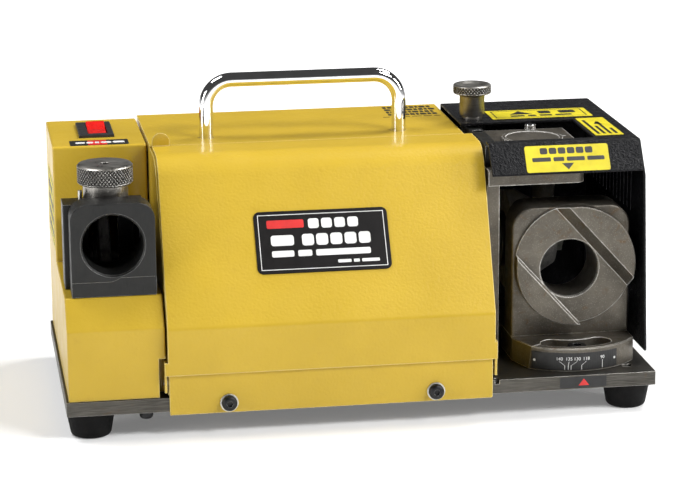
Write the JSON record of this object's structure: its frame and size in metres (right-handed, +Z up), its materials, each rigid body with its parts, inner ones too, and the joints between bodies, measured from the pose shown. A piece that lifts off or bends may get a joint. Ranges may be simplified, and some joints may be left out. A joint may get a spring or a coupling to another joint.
{
  "type": "drill bit sharpener",
  "caption": "Bench drill bit sharpener: yellow sheet-metal body with carrying handle, black hood, chuck bore at each end, knurled knobs and rubber feet.",
  "frame": {"origin": "middle of the footprint at the bottom of the rubber feet", "axes": "+X to the operator's right along the base plate, +Y to the back, +Z up"},
  "size_m": [0.4, 0.2258, 0.2208],
  "materials": {
    "ground_steel": "ground, lightly oiled steel plate",
    "rubber": "moulded black rubber",
    "yellow_paint": "fine orange-peel powder coat",
    "black_wrinkle": "black wrinkle paint",
    "black_oxide": "blackened, satin milled steel",
    "knurled_steel": "turned and knurled steel",
    "chrome": "polished chrome plate",
    "zinc": "zinc plated",
    "black_screw": "black socket screw",
    "cast": "machined casting, light stains",
    "motor_paint": "dark paint",
    "abrasive": "bonded abrasive",
    "black_plastic": "black plastic",
    "red_lens": "translucent red plastic",
    "plate_print": "printed plate"
  },
  "bodies": {
    "base": {"base_plate": "ground_steel", "foot_front_left": "rubber", "foot_front_right": "rubber", "foot_rear_left": "rubber", "foot_rear_right": "rubber", "foot_screws": "zinc", "left_housing": "yellow_paint", "centre_shell": "yellow_paint", "hinge_pin_left": "zinc", "hinge_pin_right": "zinc", "apron": "yellow_paint", "apron_washers": "zinc", "apron_screws": "black_screw", "carry_handle": "chrome", "handle_nuts": "zinc", "hood": "black_wrinkle", "hood_screws": "black_screw", "left_block": "black_oxide", "left_column": "black_oxide", "left_stop_pin": "zinc", "wheel_guard": "black_oxide", "motor_can": "motor_paint", "motor_cradle": "cast", "pivot_pin": "ground_steel", "upper_arm": "cast", "dial_stud": "chrome", "switch_body": "black_plastic", "cable_gland": "black_plastic", "post_bracket": "black_oxide", "bracket_screw": "black_screw", "under_screws": "black_screw"},
    "rotor": {"rotor_shaft": "ground_steel", "thinning_wheel": "abrasive", "left_wheel_flange": "ground_steel", "point_wheel": "abrasive", "right_wheel_flange": "ground_steel", "wheel_nut": "zinc"},
    "lid": {"lid": "yellow_paint", "nameplate": "plate_print"},
    "rocker": {"switch_rocker": "red_lens"},
    "left_knob": {"left_knob": "knurled_steel", "left_knob_setscrew": "black_screw"},
    "swivel": {"swivel_base": "cast", "swivel_block": "cast", "index_ring": "cast"},
    "clamp_screw": {"clamp_screw": "black_screw"},
    "dial": {"depth_dial": "cast"},
    "right_knob": {"right_knob": "knurled_steel"}
  },
  "joints": [
    {"name": "rotor_spin", "type": "hinge", "parent": "base", "child": "rotor", "pos_m": [0, 0.015, 0.0938], "axis": [1, 0, 0], "continuous": true},
    {"name": "lid_hinge", "type": "hinge", "parent": "base", "child": "lid", "pos_m": [-0.023, -0.1015, 0.0358], "axis": [1, 0, 0], "range_deg": [0, 84]},
    {"name": "rocker_tilt", "type": "hinge", "parent": "base", "child": "rocker", "pos_m": [-0.165, 0.0535, 0.1724], "axis": [1, 0, 0], "range_deg": [-14, 0]},
    {"name": "left_knob_turn", "type": "hinge", "parent": "base", "child": "left_knob", "pos_m": [-0.167, -0.0563, 0.1668], "axis": [0, 0, 1], "range_deg": [-120, 120]},
    {"name": "swivel_turn", "type": "hinge", "parent": "base", "child": "swivel", "pos_m": [0.15, -0.0465, 0.0348], "axis": [0, 0, 1], "range_deg": [-14, 11]},
    {"name": "clamp_screw_turn", "type": "hinge", "parent": "base", "child": "clamp_screw", "pos_m": [0.15, -0.085, 0.0348], "axis": [0, 0, 1], "range_deg": [-90, 0]},
    {"name": "dial_turn", "type": "hinge", "parent": "base", "child": "dial", "pos_m": [0.131, -0.0253, 0.1668], "axis": [0, 0, 1], "range_deg": [-150, 150]},
    {"name": "right_knob_turn", "type": "hinge", "parent": "base", "child": "right_knob", "pos_m": [0.1, 0.0305, 0.1868], "axis": [0, 0, 1], "range_deg": [-170, 170]}
  ]
}
